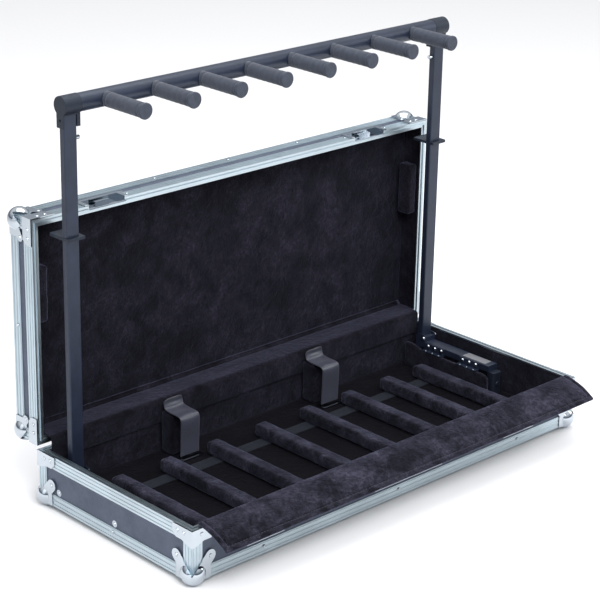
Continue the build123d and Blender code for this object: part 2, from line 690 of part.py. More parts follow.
# --- lid shell -----------------------------------------------------------------------------------
lid_wall_from = REAR + RIM_WEB
lid_wall_to = LID_BACK - WALL_INSIDE
LID_DISH_WIDE = 92.0
lid_dish_long = 28.0

lid_top_panel = flat_panel(lid_base)

with BuildPart() as lid_front_wall:
    box((-half + SKIN, half - SKIN), (lid_wall_from, lid_wall_to), (LID_HIGH - WALL_INSIDE, LID_HIGH - SKIN))
    for side in (-1, 1):
        x = side * LATCH_X
        box((x - LID_DISH_WIDE / 2 - fit, x + LID_DISH_WIDE / 2 + fit), (REAR, REAR + lid_dish_long + fit),
            (LID_HIGH - dish_deep - fit, LID_HIGH), Mode.SUBTRACT)
    cut_for_balls(lid_base)

with BuildPart() as lid_rear_wall:
    box((-half + SKIN, half - SKIN), (lid_wall_from, lid_wall_to), (LID_LOW + SKIN, LID_LOW + WALL_INSIDE))
    cut_for_balls(lid_base)

with BuildPart() as lid_side_walls:
    box((-half + SKIN, -half + WALL_INSIDE), (lid_wall_from, lid_wall_to),
        (LID_LOW + WALL_INSIDE, LID_HIGH - WALL_INSIDE))
    mirror(about=middle)
    cut_for_balls(lid_base)

lid_edging = edge_angle(lid_base)
lid_corner_angles = corner_angles(lid_base, LID_DEPTH)
lid_ear = (43.0, 33.5)
lid_ball_corners = ball_corners(lid_base, lid_ear, 8.4, False)
lid_rim_braces = rim_braces(lid_base, LID_DEPTH)

lid_rim = rim_profile(lid_base, LID_DEPTH, True)
with lid_rim:
    for side in (-1, 1):
        x = side * LATCH_X
        box((x - LID_DISH_WIDE / 2 - fit, x + LID_DISH_WIDE / 2 + fit),
            (REAR - TONGUE, REAR + lid_dish_long + fit), (LID_HIGH - dish_deep - fit, LID_HIGH + RIB),
            Mode.SUBTRACT)

lid_rivets = case_rivets(lid_base, LID_DEPTH, lid_ear)
with lid_rivets:
    for side in (-1, 1):
        disc((side * (half + RIB), REAR + 54, LID_MID + 5), (side, 0, 0), 3.4, 1.2, 28)
        for x in (LATCH_X - 62, LATCH_X + 62):
            disc((side * x, REAR + 15, LID_HIGH + RIB), (0, 0, 1), 3.4, 1.2, 28)
            disc((side * x, REAR + 35, LID_HIGH - SKIN), (0, 0, 1), 5.5, 0.8)
    for x in (-200, 0, 200):
        disc((x, REAR + 56, LID_HIGH + RIB), (0, 0, 1), 3.4, 1.2, 28)

LID_PAD_BACK = 6.0
lid_lining = wall_lining(lid_base, WALL_INSIDE, LID_DEPTH - RIM_WEB)
with lid_lining:
    with BuildSketch(lid_base.offset(WALL_INSIDE)) as pad_outline:
        Rectangle(LENGTH - 2 * WALL_INSIDE, DEPTH - 2 * WALL_INSIDE)
    extrude(pad_outline.sketch, amount=LID_PAD_BACK)
    back_y = LID_BACK - WALL_INSIDE - LID_PAD_BACK
    low_z = LID_LOW + LINING_INSIDE
    roll = 9.0  # padded roll along the lid's lower corner
    with BuildSketch(Plane.YZ.offset(-half + LINING_INSIDE)) as roll_outline:
        with BuildLine():
            Polyline((back_y - roll, low_z), (back_y, low_z), (back_y, low_z + roll))
            RadiusArc((back_y, low_z + roll), (back_y - roll, low_z), roll * 1.1)
        make_face()
    extrude(roll_outline.sketch, amount=LENGTH - 2 * LINING_INSIDE)
    cover_mid = COVER_THICK / 2
    with BuildSketch(Plane.YZ.offset(-half + 20)) as cover_outline:
        with BuildLine() as cover_line:
            FilletPolyline(
                (COVER_Y + cover_mid, HINGE_Z + 5.8),
                (COVER_Y + cover_mid, low_z + cover_mid),
                (REAR + 43, low_z + cover_mid),
                radius=7,
            )
        trace(cover_line.wires(), line_width=COVER_THICK)
    extrude(cover_outline.sketch, amount=LENGTH - 40)

with BuildPart() as lid_side_pads:
    inner = half - LINING_INSIDE
    for side in (-1, 1):
        box(sorted((side * inner, side * (inner - 28))), (REAR + 6, back_y - roll - 1), (368, 488))
    fillet(lid_side_pads.edges().filter_by(Axis.Z), 6)

with BuildPart() as latch_dishes:
    for side in (-1, 1):
        x = side * LATCH_X
        wide = LID_DISH_WIDE / 2
        box((x - wide - 8, x + wide + 8), (REAR + 1, REAR + lid_dish_long + 7),
            (LID_HIGH + RIB, LID_HIGH + RIB + PLATE))
        box((x - wide, x + wide), (REAR, REAR + lid_dish_long), (LID_HIGH - dish_deep, LID_HIGH + RIB))
        box((x - wide + DISH_SHEET, x + wide - DISH_SHEET), (REAR - 1, REAR + lid_dish_long - DISH_SHEET),
            (LID_HIGH - dish_deep + DISH_SHEET, LID_HIGH + 5), Mode.SUBTRACT)
        hook_y = REAR + 15
        box((x - 17, x + 17), (hook_y, hook_y + 2), (LID_HIGH - dish_deep, LID_HIGH - 1))
        box((x - 17, x + 17), (hook_y, hook_y + 8), (LID_HIGH - 2.5, LID_HIGH - 1))

# --- hinges --------------------------------------------------------------------------------------
HINGE_X = (-380.0, 0.0, 380.0)
HINGE_WIDE = 90.0
KNUCKLE = 4.0
HINGE_PIN = 2.4
PIN_CLEAR = 0.06
hinge_spans = [(-45, -15.3), (-15, 15), (15.3, 45)]

hinge_points = [(x, HINGE_Y, HINGE_Z) for x in HINGE_X]
knuckles_tray = (hinge_spans[0], hinge_spans[2])
knuckles_lid = (hinge_spans[1],)


def bore_knuckles():
    """Bores every hinge for its pin."""
    for x in HINGE_X:
        with BuildSketch(Plane(origin=(x, HINGE_Y, HINGE_Z), z_dir=(1, 0, 0))) as bore:
            Circle(HINGE_PIN + PIN_CLEAR)
        extrude(bore.sketch, amount=HINGE_WIDE, both=True, mode=Mode.SUBTRACT)


with BuildPart() as hinge_leaves_tray:
    for x in HINGE_X:
        box((x - HINGE_WIDE / 2, x + HINGE_WIDE / 2), (REAR + RIB, REAR + RIB + 2), (64, HINGE_Z - 5))
        for low, high in knuckles_tray:
            disc((x + low, HINGE_Y, HINGE_Z), (1, 0, 0), KNUCKLE, high - low)
            box((x + low, x + high), (REAR + RIB, REAR + RIB + 2), (HINGE_Z - 5, HINGE_Z))
    bore_knuckles()

with BuildPart() as hinge_leaves_lid:
    leaf_z = LID_LOW - RIB
    for x in HINGE_X:
        box((x - HINGE_WIDE / 2, x + HINGE_WIDE / 2), (HINGE_Y + 4.6, REAR + 42), (leaf_z - 1.6, leaf_z))
        for low, high in knuckles_lid:
            disc((x + low, HINGE_Y, HINGE_Z), (1, 0, 0), KNUCKLE, high - low)
            box((x + low, x + high), (HINGE_Y, HINGE_Y + 6), (leaf_z - 1.6, leaf_z))
    bore_knuckles()

with BuildPart() as hinge_pins:
    for x in HINGE_X:
        disc((x - HINGE_WIDE / 2, HINGE_Y, HINGE_Z), (1, 0, 0), HINGE_PIN, HINGE_WIDE)
        for side in (-1, 1):
            disc((x + side * HINGE_WIDE / 2, HINGE_Y, HINGE_Z), (side, 0, 0), 3.4, 1.4)

with BuildPart() as hinge_rivets_tray:
    for x in HINGE_X:
        for along in (-32, 0, 32):
            disc((x + along, REAR + RIB + 2, 74), (0, 1, 0), 3.6, 1.4, 28)

with BuildPart() as hinge_rivets_lid:
    for x in HINGE_X:
        for along in (-32, 0, 32):
            disc((x + along, REAR + 34, leaf_z - 1.6), (0, 0, -1), 3.6, 1.4, 28)

# --- front flap ----------------------------------------------------------------------------------
flap_root = FRONT + 9.0
flap_tip = FRONT - FLAP_REACH
flap_low = TRAY_HEIGHT + 2.0
with BuildPart() as flap_board:
    with BuildSketch(Plane.YZ.offset(-FLAP_LENGTH / 2)):
        with BuildLine():
            top_root = (flap_root - 2, flap_low + 8.2)
            top_tip = (flap_tip + 2.5, flap_low - 23.5)
            low_tip = (flap_tip, flap_low - 31.0)
            low_root = (flap_root, flap_low)
            Spline(top_root, top_tip, tangents=((-1, -0.06), (-1, -0.68)))
            Line(top_tip, low_tip)
            Spline(low_tip, low_root, tangents=((1, 0.68), (1, 0.06)))
            Line(low_root, top_root)
        make_face()
    extrude(amount=FLAP_LENGTH)

# --- rack top: crossbar, fittings and prongs ---------------------------------------------------------
PRONG_X = [PRONG_SHIFT + (i - (PRONG_COUNT - 1) / 2) * PRONG_PITCH for i in range(PRONG_COUNT)]
FITTING_INNER = 482.0
FITTING_OUTER = 523.5
LUG_LOW = 780.0
SOCKET = 0.15  # clearance round an upright's head
prong_plane = Plane.XZ.offset(-UPRIGHT_Y)

with BuildPart() as crossbar:
    disc((-FITTING_INNER - 4, UPRIGHT_Y, BAR_HEIGHT), (1, 0, 0), BAR_RADIUS, 2 * FITTING_INNER + 8)
    disc((-FITTING_INNER - 5, UPRIGHT_Y, BAR_HEIGHT), (1, 0, 0), BAR_RADIUS - 2, 2 * FITTING_INNER + 10)
    with BuildSketch(Plane.YZ.offset(-FITTING_INNER - 6)):
        with Locations((UPRIGHT_Y, BAR_HEIGHT)):
            Circle(BAR_RADIUS - 2)
    extrude(amount=2 * FITTING_INNER + 12, mode=Mode.SUBTRACT)

with BuildPart() as t_fittings:
    for side in (-1, 1):
        disc((side * FITTING_INNER, UPRIGHT_Y, BAR_HEIGHT), (side, 0, 0), FITTING_RADIUS,
             FITTING_OUTER - FITTING_INNER)
    chamfer(t_fittings.edges().filter_by(GeomType.CIRCLE), 1.0)
    for side in (-1, 1):
        low_x = sorted((side * FITTING_INNER, side * FITTING_OUTER))
        box(low_x, (UPRIGHT_Y - 8.5, UPRIGHT_Y + 10.5), (LUG_LOW, BAR_HEIGHT))
    for side in (-1, 1):
        x = side * UPRIGHT_X
        box((x - UPRIGHT_WIDTH / 2 - SOCKET, x + UPRIGHT_WIDTH / 2 + SOCKET),
            (UPRIGHT_Y - 30, UPRIGHT_Y + UPRIGHT_DEPTH / 2 + SOCKET), (LUG_LOW - 1, UPRIGHT_TOP),
            Mode.SUBTRACT)
        with BuildSketch(Plane(origin=(side * FITTING_INNER, UPRIGHT_Y, BAR_HEIGHT), z_dir=(side, 0, 0))):
            Circle(BAR_RADIUS)
        extrude(amount=4, mode=Mode.SUBTRACT)
        with BuildSketch(Plane(origin=(x, UPRIGHT_Y, 795), z_dir=(1, 0, 0))):
            Circle(2.5)
        extrude(amount=30, both=True, mode=Mode.SUBTRACT)

with BuildPart() as prong_rods:
    for x in PRONG_X:
        with BuildSketch(prong_plane.offset(BAR_RADIUS - 1)):
            with Locations((x, BAR_HEIGHT)):
                Circle(ROD_RADIUS)
        extrude(amount=PRONG_REACH - BAR_RADIUS - 4)
    with BuildSketch(Plane.YZ.offset(-FITTING_INNER)):
        with Locations((UPRIGHT_Y, BAR_HEIGHT)):
            Circle(BAR_RADIUS)
    extrude(amount=2 * FITTING_INNER, mode=Mode.SUBTRACT)

with BuildPart() as prong_sleeves:
    for x in PRONG_X:
        with BuildSketch(prong_plane.offset(8)):
            with Locations((x, BAR_HEIGHT)):
                Circle(SLEEVE_RADIUS)
                Circle(ROD_RADIUS, mode=Mode.SUBTRACT)
        extrude(amount=PRONG_REACH - 13)
    with BuildSketch(Plane.YZ.offset(-FITTING_INNER)):
        with Locations((UPRIGHT_Y, BAR_HEIGHT)):
            Circle(BAR_RADIUS)
    extrude(amount=2 * FITTING_INNER, mode=Mode.SUBTRACT)

with BuildPart() as prong_caps:
    for x in PRONG_X:
        with BuildSketch(prong_plane.offset(PRONG_REACH - 5)):
            with Locations((x, BAR_HEIGHT)):
                Circle(SLEEVE_RADIUS + 1)
        extrude(amount=5)
    chamfer(prong_caps.faces().filter_by(Axis.Y).group_by(Axis.Y)[0].edges(), 1.2)
    for x in PRONG_X:
        with BuildSketch(prong_plane.offset(PRONG_REACH - 5)):
            with Locations((x, BAR_HEIGHT)):
                Circle(ROD_RADIUS)
        extrude(amount=0.999, mode=Mode.SUBTRACT)

# --- one file for each piece ---------------------------------------------------------------------
PIECES = {
    "tray_bottom_panel": tray_bottom_panel,
    "tray_front_panel": tray_front_panel.part,
    "tray_rear_panel": tray_rear_panel.part,
    "tray_left_panel": tray_left_panel.part,
    "tray_right_panel": tray_right_panel.part,
    "tray_edging": tray_edging,
    "tray_corner_angles": tray_corner_angles,
    "tray_ball_corners": tray_ball_corners,
    "tray_rim": tray_rim.part,
    "tray_rim_braces": tray_rim_braces,
    "tray_rivets": tray_rivets.part,
    "tray_wall_lining": tray_wall_lining.part,
    "tray_floor_pad": tray_floor_pad.part,
    "hook_tapes": hook_tapes.part,
    "rest_bars": rest_bars.part,
    "end_board_left": end_board_left,
    "end_board_right": end_board_right,
    "runner_left": runner_left,
    "runner_right": runner_right,
    "runner_brackets": runner_brackets.part,
    "runner_screws": runner_screws.part,
    "runner_posts": runner_posts.part,
    "label_plate": label_plate.part,
    "upright_feet": upright_feet.part,
    "foot_bolts": foot_bolts.part,
    "upright_left": upright_left,
    "upright_right": upright_right,
    "collar_plates": collar_plates.part,
    "lock_pin_left": lock_pin_left,
    "lock_pin_right": lock_pin_right,
    "strap_blocks": strap_blocks.part,
    "loop_straps": loop_straps.part,
    "strap_buckles": strap_buckles.part,
    "latch_bodies": latch_bodies.part,
    "latch_wing_left": latch_wing_left,
    "latch_wing_right": latch_wing_right,
    "handle_dish": handle_dish.part,
    "handle_bail": handle_bail.part,
    "lid_top_panel": lid_top_panel,
    "lid_front_wall": lid_front_wall.part,
    "lid_rear_wall": lid_rear_wall.part,
    "lid_side_walls": lid_side_walls.part,
    "lid_edging": lid_edging,
    "lid_corner_angles": lid_corner_angles,
    "lid_ball_corners": lid_ball_corners,
    "lid_rim": lid_rim.part,
    "lid_rim_braces": lid_rim_braces,
    "lid_rivets": lid_rivets.part,
    "lid_lining": lid_lining.part,
    "lid_side_pads": lid_side_pads.part,
    "latch_dishes": latch_dishes.part,
    "hinge_leaves_tray": hinge_leaves_tray.part,
    "hinge_leaves_lid": hinge_leaves_lid.part,
    "hinge_pins": hinge_pins.part,
    "flap_board": flap_board.part,
    "crossbar": crossbar.part,
    "t_fittings": t_fittings.part,
    "prong_rods": prong_rods.part,
    "prong_sleeves": prong_sleeves.part,
    "prong_caps": prong_caps.part,
}

os.makedirs("parts", exist_ok=True)
for name, piece in PIECES.items():
    raised = piece.moved(Location((0, 0, STAND)))
    raised.label = name
    export_step(raised, f"parts/{name}.step")
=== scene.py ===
import json
import math

import bmesh
import bpy
from mathutils import Matrix, Vector, noise


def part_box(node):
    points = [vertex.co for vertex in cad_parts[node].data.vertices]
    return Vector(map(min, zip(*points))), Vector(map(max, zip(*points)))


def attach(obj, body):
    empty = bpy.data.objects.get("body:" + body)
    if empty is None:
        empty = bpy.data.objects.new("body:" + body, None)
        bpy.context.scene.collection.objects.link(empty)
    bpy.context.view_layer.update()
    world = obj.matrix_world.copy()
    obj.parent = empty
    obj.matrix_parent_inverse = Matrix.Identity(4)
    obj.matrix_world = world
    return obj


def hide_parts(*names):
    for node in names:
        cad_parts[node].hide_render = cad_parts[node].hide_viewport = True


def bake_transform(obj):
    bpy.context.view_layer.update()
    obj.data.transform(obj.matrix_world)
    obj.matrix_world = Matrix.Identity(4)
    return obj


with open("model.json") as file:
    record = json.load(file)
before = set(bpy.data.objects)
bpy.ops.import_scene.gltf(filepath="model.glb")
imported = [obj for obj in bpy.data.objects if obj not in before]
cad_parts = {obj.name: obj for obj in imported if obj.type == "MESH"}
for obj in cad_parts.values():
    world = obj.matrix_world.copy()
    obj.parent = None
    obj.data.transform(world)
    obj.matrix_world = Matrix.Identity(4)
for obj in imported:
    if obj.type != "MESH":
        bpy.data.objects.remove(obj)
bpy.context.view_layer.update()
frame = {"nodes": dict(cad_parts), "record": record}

NODES = frame["nodes"]

# Landmarks, in metres. The case's outer faces lie one extrusion's thickness outside its panels.
EXTRUSION_THICK = 0.0016
CASE_DEPTH = 0.470
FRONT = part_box("tray_bottom_panel")[0][1] - EXTRUSION_THICK
REAR = FRONT + CASE_DEPTH
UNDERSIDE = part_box("tray_bottom_panel")[0][2] - EXTRUSION_THICK
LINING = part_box("tray_wall_lining")
TRAY_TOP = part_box("tray_rim")[1][2]
LID_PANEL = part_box("lid_top_panel")
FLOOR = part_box("tray_floor_pad")

CLOTH_HALF = 0.530  # half the width of the flap, its fabric strip and the hinge cover
CLOTH_GAP = 0.0003  # how far cloth keeps inside the CAD solid that it stands for
PADDING_FILL = 0.9
THIN_FILL = 0.3


# --- materials -----------------------------------------------------------------------------------
class Look:
    """A node material built up from small steps, in object coordinates, in metres."""

    def __init__(self, name, **constants):
        self.mat = bpy.data.materials.new(name)
        self.mat.use_nodes = True
        self.nodes = self.mat.node_tree.nodes
        self.links = self.mat.node_tree.links
        self.bsdf = self.nodes["Principled BSDF"]
        self.where = self.nodes.new("ShaderNodeTexCoord").outputs["Object"]
        for socket, value in constants.items():
            self.bsdf.inputs[socket.replace("_", " ")].default_value = value

    def feed(self, source, target):
        self.links.new(source, target)

    def stretched(self, x, y, z):
        node = self.nodes.new("ShaderNodeMapping")
        self.feed(self.where, node.inputs["Vector"])
        node.inputs["Scale"].default_value = (x, y, z)
        return node.outputs["Vector"]

    def noise(self, scale, detail, rough, distort=0.0, vector=None):
        node = self.nodes.new("ShaderNodeTexNoise")
        self.feed(vector or self.where, node.inputs["Vector"])
        node.inputs["Scale"].default_value = scale
        node.inputs["Detail"].default_value = detail
        node.inputs["Roughness"].default_value = rough
        node.inputs["Distortion"].default_value = distort
        return node.outputs["Fac"]

    def cells(self, scale):
        node = self.nodes.new("ShaderNodeTexVoronoi")
        self.feed(self.where, node.inputs["Vector"])
        node.inputs["Scale"].default_value = scale
        return node.outputs["Distance"]

    def wave(self, scale, direction):
        node = self.nodes.new("ShaderNodeTexWave")
        self.feed(self.where, node.inputs["Vector"])
        node.bands_direction = direction
        node.inputs["Scale"].default_value = scale
        return node.outputs["Fac"]

    def ramp(self, source, low, high):
        """Maps the source onto greys: low and high are each a place and the grey there."""
        node = self.nodes.new("ShaderNodeValToRGB")
        self.feed(source, node.inputs["Fac"])
        for element, (at, grey) in zip(node.color_ramp.elements, (low, high)):
            element.position = at
            element.color = (grey, grey, grey, 1)
        return node.outputs["Color"]

    def mix(self, factor, a, b, blend="MIX"):
        """Blends two colours. Each of the three inputs is a socket or a constant."""
        node = self.nodes.new("ShaderNodeMix")
        node.data_type = "RGBA"
        node.blend_type = blend
        colour_a, colour_b = node.inputs[6], node.inputs[7]
        for socket, value in ((node.inputs["Factor"], factor), (colour_a, a), (colour_b, b)):
            if isinstance(value, bpy.types.NodeSocket):
                self.feed(value, socket)
            elif isinstance(value, tuple):
                socket.default_value = (*value, 1)
            else:
                socket.default_value = value
        return node.outputs[2]

    def colour(self, source):
        self.feed(source, self.bsdf.inputs["Base Color"])

    def roughness(self, source):
        self.feed(source, self.bsdf.inputs["Roughness"])

    def bump(self, source, strength, depth, under=None):
        """Raises the source as relief, on top of an earlier bump if there is one."""
        node = self.nodes.new("ShaderNodeBump")
        node.inputs["Strength"].default_value = strength
        node.inputs["Distance"].default_value = depth
        self.feed(source, node.inputs["Height"])
        if under:
            self.feed(under, node.inputs["Normal"])
        self.feed(node.outputs["Normal"], self.bsdf.inputs["Normal"])
        return node.outputs["Normal"]


def plush(name, dark, lit, clouds, sheen=0.28):
    """Short pile: clumps of pile lying different ways, small tufts and fibres, with a soft sheen. The
    colour's mottle between dark and lit is partly the fabric's own random tone and partly painted
    sheen off the pile.
    """
    look = Look(name, Roughness=0.92, Sheen_Weight=sheen, Sheen_Roughness=0.38,
                Sheen_Tint=(0.58, 0.60, 0.95, 1), Specular_IOR_Level=0.10)
    brushed = look.ramp(look.noise(clouds, 6, 0.70, 0.4), (0.40, 0.0), (0.66, 1.0))
    clumps = look.ramp(look.noise(130, 5, 0.78, 0.3), (0.42, 0.0), (0.66, 1.0))
    tufts = look.noise(420, 3, 0.8, 0.2)
    pile_tone_and_sheen = look.mix(0.75, brushed, clumps, "MULTIPLY")
    pile_tone_and_sheen = look.mix(0.70, pile_tone_and_sheen, look.ramp(tufts, (0.36, 0.0), (0.64, 1.0)), "MULTIPLY")
    # painted sheen: the mottle from dark to lit stands partly for light caught by the pile, laid at
    # random
    look.colour(look.mix(pile_tone_and_sheen, dark, lit))
    base = look.bump(look.noise(75, 4, 0.65, 0.4), 0.45, 0.004)
    base = look.bump(tufts, 0.6, 0.0015, base)
    look.bump(look.noise(1500, 2, 0.6), 0.5, 0.0005, base)
    return look.mat


def metal(name, colour, rough, dull, grain, stretch, relief, depth):
    """Bare or plated metal: faint clouds in the colour, fine scratches in the gloss.

    Roughness runs from rough to rough + dull, and relief is the strength of the bump.
    """
    look = Look(name, Metallic=1.0, Specular_IOR_Level=0.5)
    streaks = look.noise(grain, 4, 0.55, 0, look.stretched(*stretch))
    clouds = look.noise(7, 3, 0.6, 0.3)
    darker = tuple(c * 0.88 for c in colour)
    look.colour(look.mix(look.ramp(clouds, (0.35, 0.0), (0.65, 1.0)), darker, colour))
    look.roughness(look.ramp(streaks, (0.3, rough), (0.7, rough + dull)))
    look.bump(streaks, relief, depth)
    return look.mat


def laminate():
    look = Look("laminate", Specular_IOR_Level=0.42, Specular_Tint=(0.80, 0.90, 1.0, 1))
    pebbles = look.cells(620)
    look.colour(look.mix(look.ramp(look.noise(26, 4, 0.6), (0.35, 0.0), (0.7, 1.0)),
                         (0.048, 0.059, 0.092), (0.070, 0.085, 0.127)))
    look.roughness(look.ramp(look.noise(240, 3, 0.6), (0.3, 0.34), (0.7, 0.52)))
    base = look.bump(pebbles, 0.45, 0.0005)
    look.bump(look.noise(90, 3, 0.5), 0.15, 0.001, base)
    return look.mat


def coated_steel():
    look = Look("coated_steel", Specular_IOR_Level=0.5, Specular_Tint=(0.80, 0.88, 1.0, 1))
    look.colour(look.mix(look.ramp(look.noise(30, 4, 0.6), (0.3, 0.0), (0.7, 1.0)),
                         (0.0080, 0.0115, 0.0245), (0.0130, 0.0185, 0.0365)))
    look.roughness(look.ramp(look.noise(420, 3, 0.6), (0.3, 0.34), (0.7, 0.50)))
    look.bump(look.noise(900, 3, 0.5), 0.35, 0.0003)
    return look.mat


def moulding():
    look = Look("black_moulding", Specular_IOR_Level=0.42, Specular_Tint=(0.76, 0.87, 1.0, 1))
    look.colour(look.mix(look.noise(40, 3, 0.6),
                         (0.0060, 0.0080, 0.0150), (0.0110, 0.0145, 0.0250)))
    look.roughness(look.ramp(look.noise(300, 3, 0.6), (0.3, 0.42), (0.7, 0.62)))
    look.bump(look.noise(700, 3, 0.6), 0.4, 0.0003)
    return look.mat


def foam():
    look = Look("foam", Specular_IOR_Level=0.3, Sheen_Weight=0.15, Sheen_Roughness=0.5)
    pores = look.noise(1500, 2, 0.7)
    look.colour(look.mix(look.ramp(look.noise(120, 4, 0.6), (0.3, 0.0), (0.7, 1.0)),
                         (0.024, 0.030, 0.046), (0.039, 0.048, 0.072)))
    look.roughness(look.ramp(pores, (0.3, 0.62), (0.7, 0.85)))
    base = look.bump(pores, 0.5, 0.0004)
    look.bump(look.noise(160, 3, 0.6), 0.2, 0.0008, base)
    return look.mat


def webbing():
    look = Look("webbing", Specular_IOR_Level=0.6, Sheen_Weight=0.15, Sheen_Roughness=0.4)
    across = look.wave(150, "X")
    along = look.wave(190, "DIAGONAL")
    weave = look.mix(0.5, across, along, "MULTIPLY")
    look.colour(look.mix(weave, (0.024, 0.026, 0.040), (0.062, 0.066, 0.094)))
    look.roughness(look.ramp(look.noise(300, 3, 0.6), (0.3, 0.26), (0.7, 0.40)))
    look.bump(weave, 0.35, 0.0003)
    return look.mat


def hook_tape():
    look = Look("hook_tape", Roughness=0.80, Sheen_Weight=0.10, Sheen_Roughness=0.4,
                Sheen_Tint=(0.66, 0.74, 1.0, 1), Specular_IOR_Level=0.25,
                Specular_Tint=(0.75, 0.85, 1.0, 1))
    hooks = look.cells(700)
    look.colour(look.mix(look.ramp(hooks, (0.1, 0.0), (0.6, 1.0)),
                         (0.012, 0.013, 0.019), (0.003, 0.003, 0.005)))
    look.bump(hooks, 0.8, 0.001)
    return look.mat


def label_film():
    look = Look("label", Specular_IOR_Level=0.5, Coat_Weight=0.2, Coat_Roughness=0.25)
    look.colour(look.mix(look.noise(60, 3, 0.6), (0.125, 0.128, 0.145), (0.175, 0.180, 0.200)))
    look.roughness(look.ramp(look.noise(300, 2, 0.5), (0.3, 0.35), (0.7, 0.45)))
    look.bump(look.noise(500, 2, 0.5), 0.1, 0.0002)
    return look.mat


def thread():
    look = Look("thread", Roughness=0.7, Sheen_Weight=0.3)
    look.colour(look.mix(look.noise(900, 2, 0.5), (0.012, 0.012, 0.018), (0.035, 0.035, 0.050)))
    look.bump(look.wave(1400, "DIAGONAL"), 0.5, 0.0002)
    return look.mat


LOOKS = {
    "laminate": laminate(),
    "extrusion": metal("extrusion", (0.50, 0.58, 0.63), rough=0.30, dull=0.05, grain=60,
                       stretch=(1, 1, 1), relief=0.01, depth=0.00002),
    "chrome": metal("chrome", (0.52, 0.57, 0.62), rough=0.05, dull=0.05, grain=500,
                    stretch=(1, 1, 1), relief=0.02, depth=0.00002),
    "steel": metal("steel", (0.56, 0.57, 0.59), rough=0.26, dull=0.14, grain=260,
                   stretch=(0.2, 1, 1), relief=0.12, depth=0.0002),
    "coated_steel": coated_steel(),
    "black_moulding": moulding(),
    "label": label_film(),
    "plush": plush("plush", (0.0014, 0.0012, 0.0026), (0.0340, 0.0315, 0.0500), 15),
    # painted light: a brighter copy of the same plush, for the flap and the rest bars
    "plush_painted_light": plush("plush_painted_light", (0.0012, 0.0011, 0.0026), (0.0780, 0.0770, 0.1180), 20),
    # painted shade: a darker copy of the same plush, for the floor low down in the tray
    "plush_painted_shade": plush("plush_painted_shade", (0.0008, 0.0006, 0.0012), (0.0040, 0.0033, 0.0056), 15, 0.04),
    "hook_tape": hook_tape(),
    "webbing": webbing(),
    "foam": foam(),
    "thread": thread(),
}


def dress(node, look):
    """Gives a CAD node one look in place of the one that it came with."""
    materials = NODES[node].data.materials
    materials.clear()
    materials.append(LOOKS[look])


for part in frame["record"]["subparts"]:
    dress(part["node"], part["material_slot"])


# --- how soft pieces are made --------------------------------------------------------------------
EDGE_SHARES = (0.0, 0.08, 0.3, 0.62)  # grid lines across a rounded edge, as shares of its radius
DECIMALS = 6  # grid lines less than a micron apart are one line
WELD = 1e-6
NO_LENGTH = 1e-9
EDGE_MOST = 0.49  # the most of a side that one rounded edge may take

STITCH_LONG = 0.0042
STITCH_GAP = 0.0030
STITCH_THICK = 0.0005


def place(name, body, bm, look, nodes=()):
    """Turns a bmesh into a finished piece that rides on its body.
    """
    bmesh.ops.recalc_face_normals(bm, faces=bm.faces)
    mesh = bpy.data.meshes.new(name)
    bm.to_mesh(mesh)
    bm.free()
    for polygon in mesh.polygons:
        polygon.use_smooth = True
    piece = bpy.data.objects.new(name, mesh)
    bpy.context.scene.collection.objects.link(piece)
    mesh.materials.append(LOOKS[look])
    if body:
        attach(piece, body)
    if nodes:
        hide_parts(*nodes)
    return piece


def stops(low, high, radius, step, extra):
    """Grid lines along one axis, close together on the rounded edges."""
    run = high - low - 2 * radius
    count = max(1, round(run / step))
    lines = {round(low + radius + run * i / count, DECIMALS) for i in range(count + 1)}
    for share in EDGE_SHARES:
        lines.add(round(low + radius * share, DECIMALS))
        lines.add(round(high - radius * share, DECIMALS))
    lines.update(round(value, DECIMALS) for value in extra if low < value < high)
    return sorted(lines)


def rounded_box(low, high, radius, step, extra):
    """A closed grid over a box, with its edges and corners rolled over."""
    low, high = Vector(low), Vector(high)
    radius = min(radius, *((high[i] - low[i]) * EDGE_MOST for i in range(3)))
    lines = [stops(low[i], high[i], radius, step, extra[i]) for i in range(3)]
    bm = bmesh.new()
    for axis in range(3):
        u, v = [i for i in range(3) if i != axis]
        for value in (low[axis], high[axis]):
            grid = []
            for a in lines[u]:
                row = []
                for b in lines[v]:
                    point = Vector((0, 0, 0))
                    point[axis], point[u], point[v] = value, a, b
                    row.append(bm.verts.new(point))
                grid.append(row)
            for i in range(len(grid) - 1):
                for j in range(len(grid[0]) - 1):
                    bm.faces.new((grid[i][j], grid[i + 1][j], grid[i + 1][j + 1], grid[i][j + 1]))
    bmesh.ops.remove_doubles(bm, verts=bm.verts, dist=WELD)
    for vert in bm.verts:
        core = Vector([min(max(vert.co[i], low[i] + radius), high[i] - radius) for i in range(3)])
        out = vert.co - core
        if out.length > NO_LENGTH:
            vert.co = core + out.normalized() * radius
    return bm


def skin(bm, loops):
    """Closes a tube through loops of vertices, with a face over each end."""
    for a, b in zip(loops, loops[1:]):
        for i in range(len(a)):
            j = (i + 1) % len(a)
            bm.faces.new((a[i], a[j], b[j], b[i]))
    bm.faces.new(loops[0])
    bm.faces.new(list(reversed(loops[-1])))


def rumple(bm, amount, scale, seed):
    """Small hollows of padded cloth. They go inwards almost everywhere, so the size holds."""
    bmesh.ops.recalc_face_normals(bm, faces=bm.faces)
    bm.normal_update()
    moves = []
    for vert in bm.verts:
        spot = vert.co * scale + Vector((seed, seed * 0.7, -seed))
        value = noise.noise(spot) + 0.5 * noise.noise(spot * 2.3)
        moves.append((vert, vert.normal * (-amount * 0.5 * (1 + value))))
    for vert, move in moves:
        vert.co += move


def pad(name, body, low, high, nodes=(), *, radius, amount, step=0.012, scale=38.0, seed=0.0,
        look="plush", slot="plush", fill=PADDING_FILL, warp=None, extra=((), (), ())):
    """A padded piece: a rounded box, rumpled by amount, then bent by warp.

    Extra holds more grid lines along x, y and z, for places where the shape turns sharply.
    """
    bm = rounded_box(low, high, radius, step, extra)
    rumple(bm, amount, scale, seed)
    if warp:
        for vert in bm.verts:
            vert.co = warp(vert.co)
    return place(name, body, bm, look, nodes)


